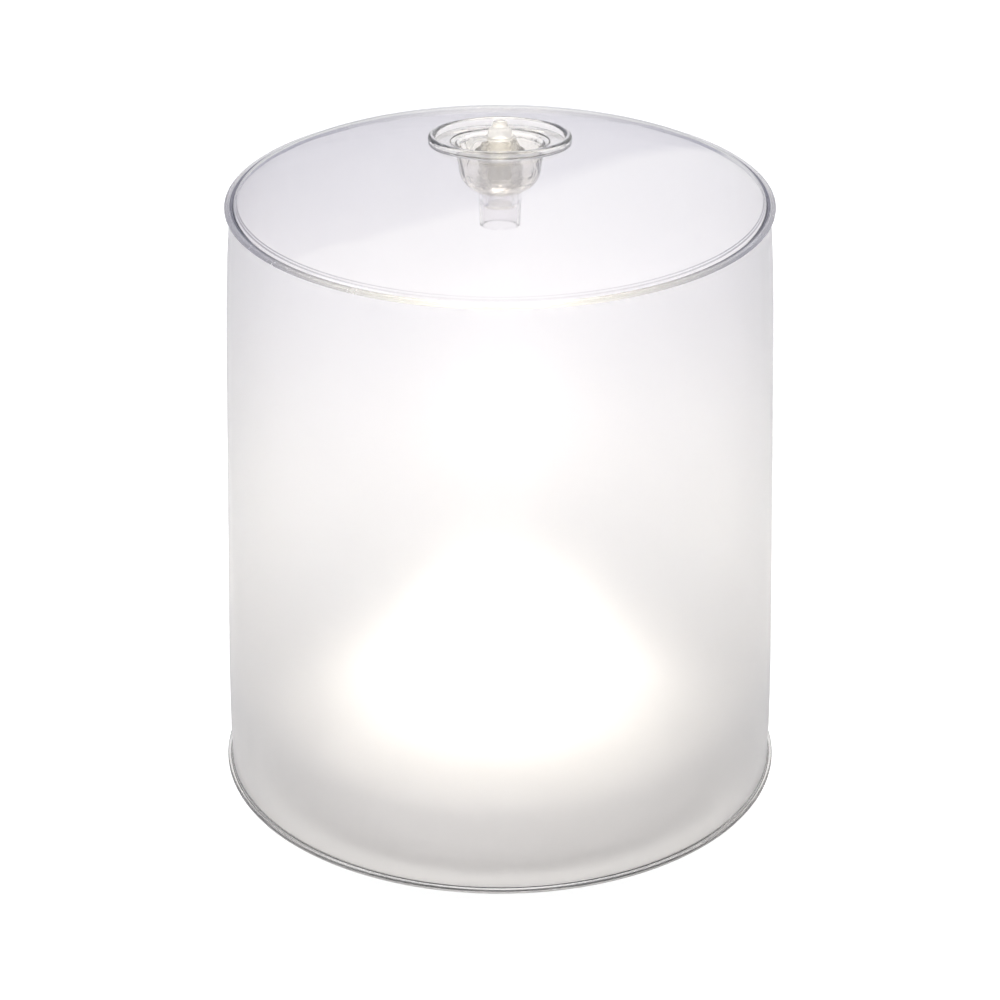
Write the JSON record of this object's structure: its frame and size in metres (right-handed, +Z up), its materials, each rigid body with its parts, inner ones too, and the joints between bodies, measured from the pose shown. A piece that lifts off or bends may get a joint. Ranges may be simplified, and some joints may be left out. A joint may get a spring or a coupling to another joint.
{
  "type": "inflatable solar candle lantern",
  "caption": "Inflatable solar candle lantern: frosted film tube with a clear domed top and air valve, on a flat lit solar base.",
  "frame": {"origin": "middle of the base, on the ground", "axes": "+Z up along the lantern; +Y away from the viewer, to the side of the top that has the air valve; the power button is under the base on the -Y side"},
  "size_m": [0.094, 0.094, 0.1104],
  "materials": {
    "frosted_film": "frosted soft film",
    "clear_film": "clear glossy soft film",
    "weld_seam": "clear welded edge",
    "valve_vinyl": "clear soft vinyl",
    "stopper_vinyl": "milky soft vinyl",
    "housing_white": "fine matt moulded",
    "seal_rubber": "matt",
    "clear_plastic": "polished clear",
    "solar_cell": "dark cells with fine contact lines",
    "panel_board": "matt board",
    "adhesive_foam": "matt foam",
    "circuit_board": "white solder mask",
    "board_chips": "matt moulded",
    "lamp_phosphor": "phosphor under clear resin",
    "reflector_white": "bright white",
    "battery_foil": "satin pouch foil",
    "lead_black": "satin",
    "lead_red": "satin",
    "connector_nylon": "natural nylon",
    "switch_black": "matt",
    "switch_metal": "satin spring leaf",
    "button_grey": "matt soft",
    "screw_steel": "bright"
  },
  "bodies": {
    "base": {"side_wall": "frosted_film", "bottom_film": "clear_film", "bottom_weld_ring": "weld_seam", "base_tray": "housing_white", "base_cover": "housing_white", "seal_ring": "seal_rubber", "panel_window": "clear_plastic", "solar_cells": "solar_cell", "solar_panel": "panel_board", "panel_tape": "adhesive_foam", "circuit_board": "circuit_board", "board_parts": "board_chips", "candle_lamps": "lamp_phosphor", "lamp_reflector": "reflector_white", "lamp_lens": "clear_plastic", "battery_cell": "battery_foil", "battery_pad": "adhesive_foam", "battery_leads": "lead_black", "battery_socket": "connector_nylon", "panel_leads": "lead_red", "tact_switch": "switch_black", "switch_dome": "switch_metal", "button_seal": "seal_rubber", "charge_pipes": "clear_plastic", "charge_lamps": "lamp_phosphor", "housing_screws": "screw_steel", "board_screws": "screw_steel"},
    "top": {"top_film": "clear_film", "top_weld_ring": "weld_seam", "valve_rim": "valve_vinyl", "valve_collar": "valve_vinyl"},
    "valve": {"valve_stem": "valve_vinyl", "stopper_tether": "stopper_vinyl"},
    "flap": {"check_flap": "valve_vinyl"},
    "stopper": {"stopper": "stopper_vinyl"},
    "button": {"power_button": "button_grey", "switch_plunger": "switch_black"}
  },
  "joints": [
    {"name": "collapse", "type": "slide", "parent": "base", "child": "top", "axis": [0, 0, -1], "range_m": [0, 0.0775], "deforming": ["side_wall"]},
    {"name": "valve_pop", "type": "slide", "parent": "top", "child": "valve", "axis": [0, 0.0938, 0.9956], "range_m": [0, 0.0155], "deforming": ["valve_collar"]},
    {"name": "stopper_pull", "type": "slide", "parent": "valve", "child": "stopper", "axis": [0, 0.0938, 0.9956], "range_m": [0, 0.009], "deforming": ["stopper_tether"]},
    {"name": "flap_open", "type": "hinge", "parent": "valve", "child": "flap", "pos_m": [0, 0.01768, 0.09602], "axis": [1, 0, 0], "range_deg": [0, 50]},
    {"name": "button_press", "type": "slide", "parent": "base", "child": "button", "axis": [0, 0, 1], "range_m": [0, 0.0004], "stiffness_N_per_m": 1500, "springref_m": -0.0004}
  ]
}
